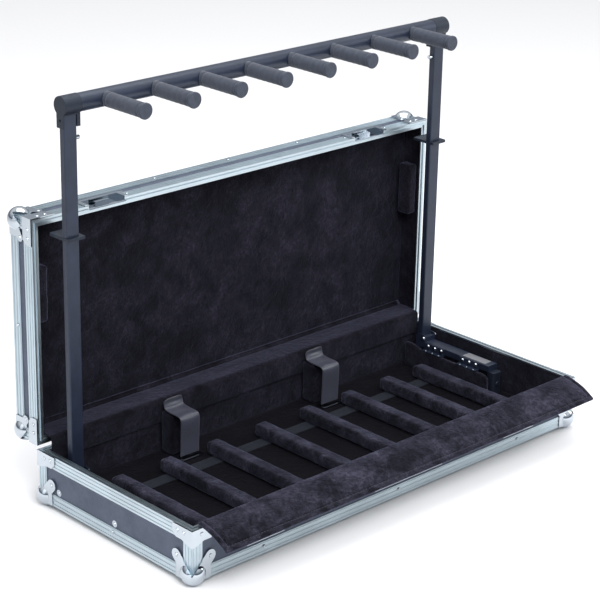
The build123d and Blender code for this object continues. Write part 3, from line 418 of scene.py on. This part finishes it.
def stitches(name, body, path):
    """A row of short raised threads along a path of points, each lying on the cloth."""
    bm = bmesh.new()
    walked = 0.0
    for start, end in zip(path, path[1:]):
        leg = (end - start).length
        way = (end - start).normalized()
        while walked + STITCH_LONG < leg:
            middle = start + way * (walked + STITCH_LONG / 2)
            turn = way.to_track_quat("X", "Z").to_matrix().to_4x4()
            made = bmesh.ops.create_icosphere(bm, subdivisions=1, radius=1.0)
            size = Matrix.Diagonal((STITCH_LONG / 2, STITCH_THICK, STITCH_THICK, 1))
            shape = Matrix.Translation(middle) @ turn @ size
            bmesh.ops.transform(bm, matrix=shape, verts=made["verts"])
            walked += STITCH_LONG + STITCH_GAP
        walked = max(0.0, walked - leg)
    return place(name, body, bm, "thread")


# --- lining of the tray --------------------------------------------------------------------------
WALL_DOWN = 0.004  # from the rim's top to the wall padding's top
STRIP_PROUD = 0.001  # how far the flap's fabric strip stands above the rim
STRIP_HIGH = 0.024
STRIP_THICK = 0.0016


def wall_pad(name, body, low, high, seed, nodes=()):
    """One thin padded wall of the tray's or the lid's lining."""
    return pad(name, body, low, high, nodes, radius=0.0018, seed=seed, amount=0.0006)


# the floor padding wears the darker copy of the plush: painted shade
pad("floor_padding", "tray", *FLOOR, ["tray_floor_pad"], radius=0.003, step=0.014, amount=0.0009,
    look="plush_painted_shade")

outer_low, outer_high = LINING
inner_low, inner_high = FLOOR
wall_low = inner_low[2]
wall_top = TRAY_TOP - WALL_DOWN - CLOTH_GAP
wall_pad("tray_wall_padding_left", "tray", (outer_low[0], inner_low[1], wall_low),
         (inner_low[0], inner_high[1], wall_top), 3, ["tray_wall_lining"])
wall_pad("tray_wall_padding_right", "tray", (inner_high[0], inner_low[1], wall_low),
         (outer_high[0], inner_high[1], wall_top), 5)
wall_pad("tray_wall_padding_front", "tray", (outer_low[0], outer_low[1], wall_low),
         (outer_high[0], inner_low[1], wall_top), 7)
wall_pad("tray_wall_padding_rear", "tray", (outer_low[0], inner_high[1], wall_low),
         (outer_high[0], outer_high[1], wall_top), 9)

strip_top = TRAY_TOP + STRIP_PROUD
pad("flap_fabric_strip", "tray", (-CLOTH_HALF, inner_low[1], strip_top - STRIP_HIGH),
    (CLOTH_HALF, inner_low[1] + STRIP_THICK, strip_top),
    radius=0.0008, seed=11, amount=0.0002, fill=THIN_FILL)


# --- rest bars and the hook tape that holds them -------------------------------------------------
REST_BAR_X = (-0.429, -0.302, -0.175, -0.040, 0.091, 0.217, 0.339, 0.447)
REST_BAR_HALF = 0.017
FOLD_AT = 0.010  # from a bar's end to the fold in its cloth
FOLD_SPREAD = 0.004
FOLD_DEEP = 0.0010
CREASE_DEEP = 0.0018
FOLD_LINES = (0.006, 0.010, 0.014)
CREASE_LINES = (-0.003, 0, 0.003)
TAPE_WIDTH = 0.033


def wrap_folds(low, high):
    """Cloth wrapped round a bar: drawn in near both ends, with a crease down each end face."""
    middle = (low[0] + high[0]) / 2

    def warp(point):
        nearest = min(point.y - low[1], high[1] - point.y)
        fold = math.exp(-((nearest - FOLD_AT) / FOLD_SPREAD) ** 2) * FOLD_DEEP
        point.x += fold if point.x < middle else -fold
        if nearest < FOLD_SPREAD:
            crease = math.exp(-((point.x - middle) / FOLD_SPREAD) ** 2) * CREASE_DEEP
            point.y += crease if point.y - low[1] < FOLD_AT else -crease
        return point
    return warp


bars_low, bars_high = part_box("rest_bars")
for index, x in enumerate(REST_BAR_X, 1):
    low = Vector((x - REST_BAR_HALF, bars_low[1], bars_low[2]))
    high = Vector((x + REST_BAR_HALF, bars_high[1], bars_high[2]))
    folds = [low.y + inset for inset in FOLD_LINES] + [high.y - inset for inset in FOLD_LINES]
    # the bars wear the brighter copy of the plush: painted light
    pad(f"rest_bar_{index}", "tray", low, high, ["rest_bars"], radius=0.0075, step=0.008,
        amount=0.0014, scale=55, seed=index * 4.3, look="plush_painted_light", warp=wrap_folds(low, high),
        extra=([x + off for off in CREASE_LINES], folds, ()))

tapes_low, tapes_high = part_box("hook_tapes")
for name, start in (("front", tapes_low[1]), ("rear", tapes_high[1] - TAPE_WIDTH)):
    pad(f"hook_tape_{name}", "tray", (tapes_low[0], start, tapes_low[2]),
        (tapes_high[0], start + TAPE_WIDTH, tapes_high[2]), ["hook_tapes"], radius=0.0007,
        step=0.006, amount=0.0003, scale=90, look="hook_tape", slot="hook_tape", fill=THIN_FILL)


# --- end boards ----------------------------------------------------------------------------------
NOSE_RADIUS = 0.018
RAISED_BY = 0.008  # how far the rear part of the top stands above the rest
RAISED_FROM = 0.197
RAISED_OVER = 0.038


def board_outline(low, high):
    """Gives a box the end board's outline: a rounded front and a raised rear part of the top."""
    level = high.z - RAISED_BY

    def warp(point):
        front = (point.y - low.y) / NOSE_RADIUS
        top = level
        if front < 1:
            top -= NOSE_RADIUS * (1 - math.sqrt(max(0.0, 1 - (1 - front) ** 2)))
        rise = min(max((point.y - low.y - RAISED_FROM) / RAISED_OVER, 0), 1)
        top += RAISED_BY * rise * rise * (3 - 2 * rise)
        share = (point.z - low.z) / (high.z - low.z)
        point.z = low.z + share * (top - low.z)
        return point
    return warp


for side in ("left", "right"):
    low, high = (Vector(corner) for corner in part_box(f"end_board_{side}"))
    pad(f"end_board_padding_{side}", "tray", low, high, [f"end_board_{side}"], radius=0.005,
        step=0.006, amount=0.0010, scale=60, seed=2, warp=board_outline(low, high))


# --- lining of the lid ---------------------------------------------------------------------------
LID_START = 0.004  # from the case's rear face to the lining's front edge
LID_INSET = 0.009  # from the lid panel's lower and upper edges to the lining
LID_BACK_THICK = 0.006
LID_WALL_THICK = 0.004
SIDE_PAD_THICK = 0.028
ROLL_SIZE = 0.0088
ROLL_ARC = 8  # steps round the roll's face
ROLL_LENGTHS = 110

lid_low = Vector((LINING[0][0], REAR + LID_START, LID_PANEL[0][2] + LID_INSET))
lid_high = Vector((LINING[1][0], LID_PANEL[0][1], LID_PANEL[1][2] - LID_INSET))
lid_back = lid_high.y - LID_BACK_THICK
lid_base = lid_low.z + LID_WALL_THICK

pad("lid_back_padding", "lid", (lid_low.x, lid_back, lid_low.z), lid_high, ["lid_lining"],
    radius=0.0025, step=0.016, amount=0.0012, scale=16, seed=21)
wall_pad("lid_wall_padding_left", "lid", (lid_low.x, lid_low.y, lid_base),
         (lid_low.x + LID_WALL_THICK, lid_back, lid_high.z - LID_WALL_THICK), 23)
wall_pad("lid_wall_padding_right", "lid", (lid_high.x - LID_WALL_THICK, lid_low.y, lid_base),
         (lid_high.x, lid_back, lid_high.z - LID_WALL_THICK), 25)
wall_pad("lid_wall_padding_low", "lid", lid_low, (lid_high.x, lid_back, lid_base), 27)
wall_pad("lid_wall_padding_high", "lid", (lid_low.x, lid_low.y, lid_high.z - LID_WALL_THICK),
         (lid_high.x, lid_back, lid_high.z), 29)


# The plush that runs from the tray's rear wall over the hinge gap into the lid.
COVER_HALF = 0.0009  # half its thickness
COVER_INSET = 0.0182  # from the case's rear face to the cover's front face
COVER_LOW = UNDERSIDE + 0.084
COVER_TOP = lid_base + COVER_HALF
COVER_BEND = 0.008
COVER_END = REAR + 0.043
COVER_MID = REAR - COVER_INSET + COVER_HALF
cover_rise = COVER_TOP - COVER_BEND - COVER_LOW
cover_arc = COVER_BEND * math.pi / 2
cover_run = COVER_END - COVER_MID - COVER_BEND


def cover_shape(point):
    """Lays a flat strip up the rear wall, round a bend and along the lid's lower wall."""
    way, off = point.y, point.z
    if way < cover_rise:
        return Vector((point.x, COVER_MID - off, COVER_LOW + way))
    angle = min((way - cover_rise) / COVER_BEND, math.pi / 2)
    past = max(0.0, way - cover_rise - cover_arc)
    y = COVER_MID + COVER_BEND * (1 - math.cos(angle)) - off * math.cos(angle) + past
    z = COVER_TOP - COVER_BEND + COVER_BEND * math.sin(angle) + off * math.sin(angle)
    return Vector((point.x, y, z))


cover_long = cover_rise + cover_arc + cover_run
cover = pad("hinge_cover", None, (-CLOTH_HALF, 0, -COVER_HALF), (CLOTH_HALF, cover_long, COVER_HALF),
            radius=0.0008, step=0.004, amount=0.0003, scale=40, seed=33, fill=THIN_FILL,
            warp=cover_shape)
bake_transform(cover)


def lid_roll():
    """The padded roll along the lid's lower inside corner."""
    bm = bmesh.new()
    profile = [(lid_back, lid_base), (lid_back, lid_base + ROLL_SIZE)]
    for i in range(1, ROLL_ARC):
        angle = math.radians(90 * i / ROLL_ARC)
        bulge = 1 - 0.32 * math.sin(2 * angle)
        profile.append((lid_back - ROLL_SIZE * math.sin(angle) * bulge,
                        lid_base + ROLL_SIZE * math.cos(angle) * bulge))
    profile.append((lid_back - ROLL_SIZE, lid_base))
    start, stop = lid_low.x + LID_WALL_THICK, lid_high.x - LID_WALL_THICK
    rows = []
    for i in range(ROLL_LENGTHS + 1):
        x = start + (stop - start) * i / ROLL_LENGTHS
        puff = 0.92 + 0.08 * noise.noise(Vector((x * 22, 3.1, 0)))
        rows.append([bm.verts.new((x, lid_back + (y - lid_back) * puff,
                                   lid_base + (z - lid_base) * puff)) for y, z in profile])
    skin(bm, rows)
    return place("lid_corner_roll", "lid", bm, "plush", ())


lid_roll()
pads_low, pads_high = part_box("lid_side_pads")
for name, x in (("left", pads_low[0]), ("right", pads_high[0] - SIDE_PAD_THICK)):
    pad(f"lid_side_pad_{name}", "lid", (x, pads_low[1], pads_low[2]),
        (x + SIDE_PAD_THICK, pads_high[1], pads_high[2]), ["lid_side_pads"], radius=0.008,
        step=0.007, amount=0.0022, scale=45, seed=31)


# --- strap units ---------------------------------------------------------------------------------
STRAP_X = (("left", -0.224), ("right", 0.183))
STRAP_HALF = 0.025
STRAP_THICK = 0.0024
STRAP_OVER = 0.0025  # the strap's middle line above the block's top
STRAP_FRONT = 0.388  # from the case's front to the strap's front run
BLOCK_HALF = 0.028
SMOOTHINGS = 3
TAPER_ROWS = 12
TAPER_FROM = 0.62
# Where the width is divided: closely at the selvedges.
ACROSS = (0, 0.012, 0.03, 0.07, 0.2, 0.35, 0.5, 0.65, 0.8, 0.93, 0.97, 0.988, 1)


def ribbon(name, body, path, x0, x1, thick, nodes):
    """A woven strap along a path of (y, z) points from its narrowed free end.

    Its selvedges are slightly raised.
    """
    points = [Vector((0, y, z)) for y, z in path]
    for _ in range(SMOOTHINGS):
        cut = [points[0]]
        for a, b in zip(points, points[1:]):
            cut += [a.lerp(b, 0.25), a.lerp(b, 0.75)]
        points = cut + [points[-1]]
    bm = bmesh.new()
    width = x1 - x0
    loops = []
    for i, point in enumerate(points):
        before, after = points[max(i - 1, 0)], points[min(i + 1, len(points) - 1)]
        way = (after - before).normalized()
        out = Vector((0, way.z, -way.y))
        taper = 1.0
        if i <= TAPER_ROWS:
            taper = TAPER_FROM + (1 - TAPER_FROM) * math.sin(math.pi / 2 * i / TAPER_ROWS)
        loop = []
        for face in (1, -1):
            for share in (ACROSS if face > 0 else reversed(ACROSS)):
                edge = min(share, 1 - share)
                share = 0.5 + (share - 0.5) * taper
                height = thick / 2 * (0.55 + 0.45 * min(1, edge / 0.02))
                if edge >= 0.05:
                    height *= 0.9
                cup = 0.0010 * math.sin(math.pi * share) * math.sin(i * 0.35)
                sideways = Vector((x0 + width * share, 0, 0))
                loop.append(bm.verts.new(point + sideways + out * (face * height + cup)))
        loops.append(loop)
    skin(bm, loops)
    return place(name, body, bm, "webbing", nodes)


blocks_low, blocks_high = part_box("strap_blocks")
for name, x in STRAP_X:
    low = Vector((x - BLOCK_HALF, blocks_low[1], blocks_low[2]))
    high = Vector((x + BLOCK_HALF, blocks_high[1], blocks_high[2]))
    pad(f"strap_block_{name}", "tray", low, high, ["strap_blocks"], radius=0.007, step=0.006,
        amount=0.0016, scale=50, seed=x * 40)
    top = high.z + STRAP_OVER
    leg = FRONT + STRAP_FRONT
    curled_end = [(FRONT + 0.4405, UNDERSIDE + 0.1380), (FRONT + 0.4425, UNDERSIDE + 0.1310),
                  (FRONT + 0.4415, UNDERSIDE + 0.1240)]
    over_block = [(FRONT + 0.438, top + 0.002), (FRONT + 0.418, top), (leg + 0.007, top + 0.0005)]
    down_front = [(leg - 0.0015, top - 0.004), (leg - 0.001, top - 0.022),
                  (leg, UNDERSIDE + 0.060), (leg + 0.001, UNDERSIDE + 0.027)]
    ribbon(f"strap_{name}", "tray", curled_end + over_block + down_front, x - STRAP_HALF,
           x + STRAP_HALF, STRAP_THICK, ["loop_straps"])


# --- front flap ----------------------------------------------------------------------------------
FLAP_LONG = 0.0885
FLAP_THICK = 0.0084
FLAP_START = (FRONT + 0.0085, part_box("flap_board")[1][2] - FLAP_THICK / 2 - CLOTH_GAP)
DROOP = (math.radians(4.0), math.radians(37.0))  # its slope at the hinge and at the free edge
DROOP_STEPS = 24
HEM = 0.011  # from the free edges to the sewn line
HEM_SPREAD = 0.0022
HEM_DEEP = 0.0019
HEM_DEEP_UNDER = 0.0012
HEM_LINES = (-0.004, -0.002, -0.001, 0, 0.001, 0.002, 0.004)
SEAM_START = 0.004
SEAM_LEGS = 20


def flap_point(point):
    """Lays a flat board along the drooping curve: y is the way along it, z its thickness."""
    way = min(max(point.y, 0), FLAP_LONG)
    y, z = FLAP_START
    for i in range(DROOP_STEPS):
        angle = DROOP[0] + (DROOP[1] - DROOP[0]) * (i + 0.5) / DROOP_STEPS * way / FLAP_LONG
        y -= math.cos(angle) * way / DROOP_STEPS
        z -= math.sin(angle) * way / DROOP_STEPS
    angle = DROOP[0] + (DROOP[1] - DROOP[0]) * way / FLAP_LONG
    return Vector((point.x, y - math.sin(angle) * point.z, z + math.cos(angle) * point.z))


def flap_shape(point):
    """Presses the sewn line of the hem into both faces, then bends the board."""
    edge = min(FLAP_LONG - point.y, CLOTH_HALF - abs(point.x))
    pressed = math.exp(-((edge - HEM) / HEM_SPREAD) ** 2)
    if point.z > 0:
        point.z -= HEM_DEEP * pressed
    else:
        point.z += HEM_DEEP_UNDER * pressed
    return flap_point(point)


hem_y = FLAP_LONG - HEM
hem_x = CLOTH_HALF - HEM
hem_lines = [hem_y + off for off in HEM_LINES]
hem_ends = [side * (hem_x + off) for side in (-1, 1) for off in HEM_LINES]
# the flap wears the brighter copy of the plush: painted light
pad("flap_padding", "flap", (-CLOTH_HALF, 0, -FLAP_THICK / 2), (CLOTH_HALF, FLAP_LONG, FLAP_THICK / 2),
    ["flap_board"], radius=0.0040, step=0.009, amount=0.0009, scale=30, seed=41,
    look="plush_painted_light", warp=flap_shape, extra=(hem_ends, hem_lines, ()))

seam_z = FLAP_THICK / 2 - HEM_DEEP
seam = [(-hem_x, SEAM_START), (-hem_x, hem_y), (hem_x, hem_y), (hem_x, SEAM_START)]
seam_path = []
for (xa, ya), (xb, yb) in zip(seam, seam[1:]):
    for i in range(SEAM_LEGS):
        share = i / SEAM_LEGS
        seam_path.append(flap_point(Vector((xa + (xb - xa) * share, ya + (yb - ya) * share, seam_z))))
stitches("flap_stitches", "flap", seam_path)


# --- foam sleeves --------------------------------------------------------------------------------
PRONGS = 8
SLEEVE_RADIUS = 0.0150
SLEEVE_START = 0.0182  # from the crossbar's axis to the sleeve
SLEEVE_TURNS = 56
SLEEVE_RINGS = 22
SLEEVE_MARGIN = 0.010
# Distance from each pressed ring's middle, and how deep it is there.
PRESSED_RING = ((-0.0016, 0), (-0.0008, 0.0008), (0, 0.0011), (0.0008, 0.0008), (0.0016, 0))
SADDLE_LONG = 0.004
SADDLE_RADIUS = 0.018
SADDLE_REACH = 0.0175


def sleeve(name, x, axis_y, axis_z, start, stop):
    """A foam tube on a prong: a pressed ring near each end, the rear end cut to fit the bar."""
    long = stop - start
    shape = [(0.0, SLEEVE_RADIUS - 0.0018), (0.0006, SLEEVE_RADIUS - 0.0006),
             (0.0016, SLEEVE_RADIUS - 0.0001)]
    for ring_at in (0.0075, long - 0.0065):
        shape += [(ring_at + along, SLEEVE_RADIUS - deep) for along, deep in PRESSED_RING]
    for i in range(1, SLEEVE_RINGS):
        at = SLEEVE_MARGIN + (long - 2 * SLEEVE_MARGIN) * i / SLEEVE_RINGS
        shape.append((at, SLEEVE_RADIUS - 0.0002 + 0.0002 * math.sin(i * 1.7 + x * 30)))
    shape += [(long - 0.0010, SLEEVE_RADIUS - 0.0002), (long, SLEEVE_RADIUS - 0.0012)]
    shape.sort()
    bm = bmesh.new()
    rings = []
    for at, radius in shape:
        ring = []
        for k in range(SLEEVE_TURNS):
            angle = 2 * math.pi * k / SLEEVE_TURNS
            across, up = math.cos(angle), math.sin(angle)
            wave = 1 + 0.006 * noise.noise(Vector((at * 60, across * 1.5, up * 1.5 + x)))
            far = radius * min(wave, 1.0)
            y = axis_y - start - at
            if at < SADDLE_LONG:
                saddle = math.sqrt(max(0.0, SADDLE_RADIUS ** 2 - (far * up) ** 2))
                y += max(0.0, SADDLE_REACH - saddle)
            ring.append(bm.verts.new((x + far * across, y, axis_z + far * up)))
        rings.append(ring)
    skin(bm, rings)
    return place(name, "rack_top", bm, "foam", ["prong_sleeves"])


sleeves_low, sleeves_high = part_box("prong_sleeves")
bar_low, bar_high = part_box("crossbar")
bar_y = (bar_low[1] + bar_high[1]) / 2
bar_z = (bar_low[2] + bar_high[2]) / 2
span = sleeves_high[0] - sleeves_low[0] - 2 * SLEEVE_RADIUS
for i in range(PRONGS):
    x = sleeves_low[0] + SLEEVE_RADIUS + i * span / (PRONGS - 1)
    sleeve(f"foam_sleeve_{i + 1}", x, bar_y, bar_z, SLEEVE_START, bar_y - sleeves_low[1])

dress("prong_caps", "foam")


# --- stage, light and camera ---------------------------------------------------------------------
FLOOR_HALF = 30
FLOOR_Z = -0.0004
HORIZON = (0.03, (0.80, 0.82, 0.84, 1))
ZENITH = (0.55, (1.0, 1.0, 1.0, 1))
DARK_BANDS = ((0.07, (0.07, 0.09, 0.12, 1)), (0.22, (0.26, 0.30, 0.36, 1)))
# Fitted to the photograph: degrees for azimuth, elevation and roll, and the place.
CAMERA_TURN = (-43.863, 20.878, 1.112)
CAMERA_AT = (-2.6823, -2.4922 + FRONT, 1.8160 + UNDERSIDE)
CAMERA_LENS = 120.0
CAMERA_SENSOR = 36.0
CAMERA_FAR = 60


def plain(name, colour, rough):
    """A nearly even, dull surface."""
    look = Look(name, Roughness=rough, Specular_IOR_Level=0.2)
    look.colour(look.mix(look.noise(0.8, 2, 0.5), colour, tuple(c * 0.99 for c in colour)))
    return look.mat


floor_mesh = bpy.data.meshes.new("floor")
floor_corners = [(x * FLOOR_HALF, y * FLOOR_HALF, FLOOR_Z)
                 for x, y in ((-1, -1), (1, -1), (1, 1), (-1, 1))]
floor_mesh.from_pydata(floor_corners, [], [(0, 1, 2, 3)])
floor = bpy.data.objects.new("floor", floor_mesh)
bpy.context.scene.collection.objects.link(floor)
floor_mesh.materials.append(plain("floor", (0.86, 0.86, 0.87), 0.9))

# A studio whose brightness depends on height alone: the dark bands are what the metal mirrors.
world = bpy.data.worlds.new("studio")
bpy.context.scene.world = world
world.use_nodes = True
sky = world.node_tree
direction = sky.nodes.new("ShaderNodeTexCoord").outputs["Generated"]
split = sky.nodes.new("ShaderNodeSeparateXYZ")
shade = sky.nodes.new("ShaderNodeValToRGB")
sky.links.new(direction, split.inputs["Vector"])
sky.links.new(split.outputs["Z"], shade.inputs["Fac"])
sky.links.new(shade.outputs["Color"], sky.nodes["Background"].inputs["Color"])
bands = shade.color_ramp.elements
bands[0].position, bands[0].color = HORIZON
bands[1].position, bands[1].color = ZENITH
for height, tint in DARK_BANDS:
    bands.new(height).color = tint
sky.nodes["Background"].inputs["Strength"].default_value = 1.0
bpy.context.scene.view_settings.view_transform = "Standard"


def area(name, place_at, aim, size, energy, colour=(1, 1, 1)):
    """A rectangular lamp turned towards a point."""
    light = bpy.data.lights.new(name, "AREA")
    light.shape = "RECTANGLE"
    light.size, light.size_y = size
    light.energy = energy
    light.color = colour
    lamp = bpy.data.objects.new(name, light)
    bpy.context.scene.collection.objects.link(lamp)
    lamp.location = place_at
    lamp.rotation_euler = (Vector(aim) - Vector(place_at)).to_track_quat("-Z", "Y").to_euler()


area("key", (-1.2, -2.6, 3.2), aim=(0, 0, 0.35), size=(2.4, 2.0), energy=120)
area("top", (0.4, 0.4, 3.4), aim=(0, 0, 0.2), size=(3.0, 2.4), energy=70)
area("left", (-3.4, 0.2, 1.6), aim=(0, 0, 0.4), size=(1.6, 2.4), energy=10, colour=(0.93, 0.96, 1.0))
area("right", (3.2, -1.6, 1.8), aim=(0, 0, 0.4), size=(1.4, 2.0), energy=30)

camera_data = bpy.data.cameras.new("camera")
camera_data.lens = CAMERA_LENS
camera_data.sensor_width = CAMERA_SENSOR
camera_data.clip_end = CAMERA_FAR
camera = bpy.data.objects.new("camera", camera_data)
bpy.context.scene.collection.objects.link(camera)
azimuth, elevation, roll = (math.radians(value) for value in CAMERA_TURN)
forward = Vector((-math.sin(azimuth) * math.cos(elevation), math.cos(azimuth) * math.cos(elevation),
                  -math.sin(elevation)))
right = forward.cross(Vector((0, 0, 1))).normalized()
up = right.cross(forward)
across = right * math.cos(roll) + up * math.sin(roll)
upward = -right * math.sin(roll) + up * math.cos(roll)
turn = Matrix((across, upward, -forward)).transposed().to_4x4()
camera.matrix_world = Matrix.Translation(CAMERA_AT) @ turn
bpy.context.scene.camera = camera
